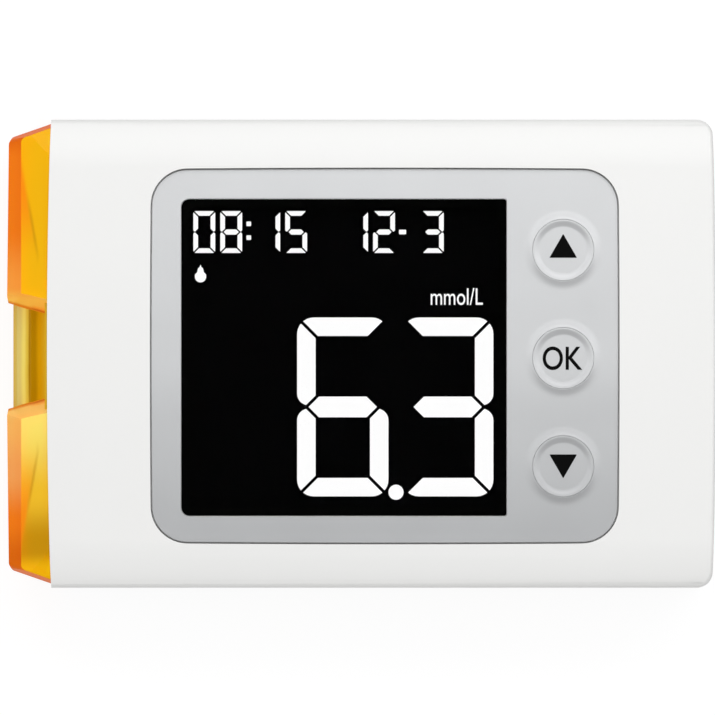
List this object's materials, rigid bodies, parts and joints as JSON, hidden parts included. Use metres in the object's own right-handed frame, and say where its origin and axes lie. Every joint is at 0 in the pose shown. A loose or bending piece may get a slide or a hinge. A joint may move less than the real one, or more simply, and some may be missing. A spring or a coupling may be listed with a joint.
{
  "type": "blood glucose meter",
  "caption": "Hand-held blood glucose meter with a wide black display, a column of dished keys, an amber test-strip end and a sliding battery door.",
  "frame": {"origin": "middle of the underside, on the surface that the meter lies on", "axes": "+X along the case away from the strip end, +Y across it towards the up key, +Z out of the display"},
  "size_m": [0.094, 0.062, 0.021],
  "materials": {
    "white_shell": "smooth gloss moulding",
    "amber_clear": "clear amber gloss moulding",
    "silver_panel": "satin silver paint",
    "silver_key": "satin silver paint",
    "window_clear": "clear polished acrylic with a black border",
    "foam": "closed-cell foam",
    "display_black": "polarised black glass",
    "lit_white": "lit white",
    "guide_clear": "clear light guide",
    "black_plastic": "moulded black",
    "elastomer": "layered silicone",
    "board_green": "solder mask over glass laminate",
    "chip_black": "moulded epoxy",
    "component_tan": "fired ceramic",
    "bright_metal": "plated sheet",
    "connector_ivory": "moulded nylon",
    "gold_leaf": "gold flash",
    "lamp": "clear lens over white",
    "silicone": "matt silicone",
    "carbon": "carbon-filled silicone",
    "cell_jacket": "printed metal jacket with bare ends",
    "spring_steel": "nickel-plated spring steel",
    "screw_steel": "zinc-plated steel"
  },
  "bodies": {
    "case": {"front_case": "white_shell", "rear_case": "white_shell", "end_cap": "amber_clear", "front_panel": "silver_panel", "display_window": "window_clear", "display_gasket": "foam", "display_glass": "display_black", "lit_segments": "lit_white", "light_guide": "guide_clear", "display_holder": "black_plastic", "contact_strips": "elastomer", "main_board": "board_green", "processor_chip": "chip_black", "measuring_chip": "chip_black", "memory_chip": "chip_black", "small_components": "component_tan", "clock_crystal": "bright_metal", "buzzer": "black_plastic", "strip_connector": "connector_ivory", "strip_contacts": "gold_leaf", "strip_lamp": "lamp", "socket_shell": "bright_metal", "socket_tongue": "black_plastic", "key_mat": "silicone", "dome_up": "silicone", "dome_ok": "silicone", "dome_down": "silicone", "battery_left": "cell_jacket", "battery_right": "cell_jacket", "contact_plus": "spring_steel", "contact_minus": "spring_steel", "contact_bridge": "spring_steel", "case_screws": "screw_steel"},
    "up_key": {"button_up": "silver_key", "pill_up": "carbon"},
    "ok_key": {"button_ok": "silver_key", "pill_ok": "carbon"},
    "down_key": {"button_down": "silver_key", "pill_down": "carbon"},
    "door": {"battery_door": "white_shell"}
  },
  "joints": [
    {"name": "up_key_press", "type": "slide", "parent": "case", "child": "up_key", "axis": [0, 0, -1], "range_m": [0, 0.0008], "stiffness_N_per_m": 1500, "deforming": ["dome_up"]},
    {"name": "ok_key_press", "type": "slide", "parent": "case", "child": "ok_key", "axis": [0, 0, -1], "range_m": [0, 0.0008], "stiffness_N_per_m": 1500, "deforming": ["dome_ok"]},
    {"name": "down_key_press", "type": "slide", "parent": "case", "child": "down_key", "axis": [0, 0, -1], "range_m": [0, 0.0008], "stiffness_N_per_m": 1500, "deforming": ["dome_down"]},
    {"name": "door_slide", "type": "slide", "parent": "case", "child": "door", "axis": [1, 0, 0], "range_m": [0, 0.03]}
  ]
}
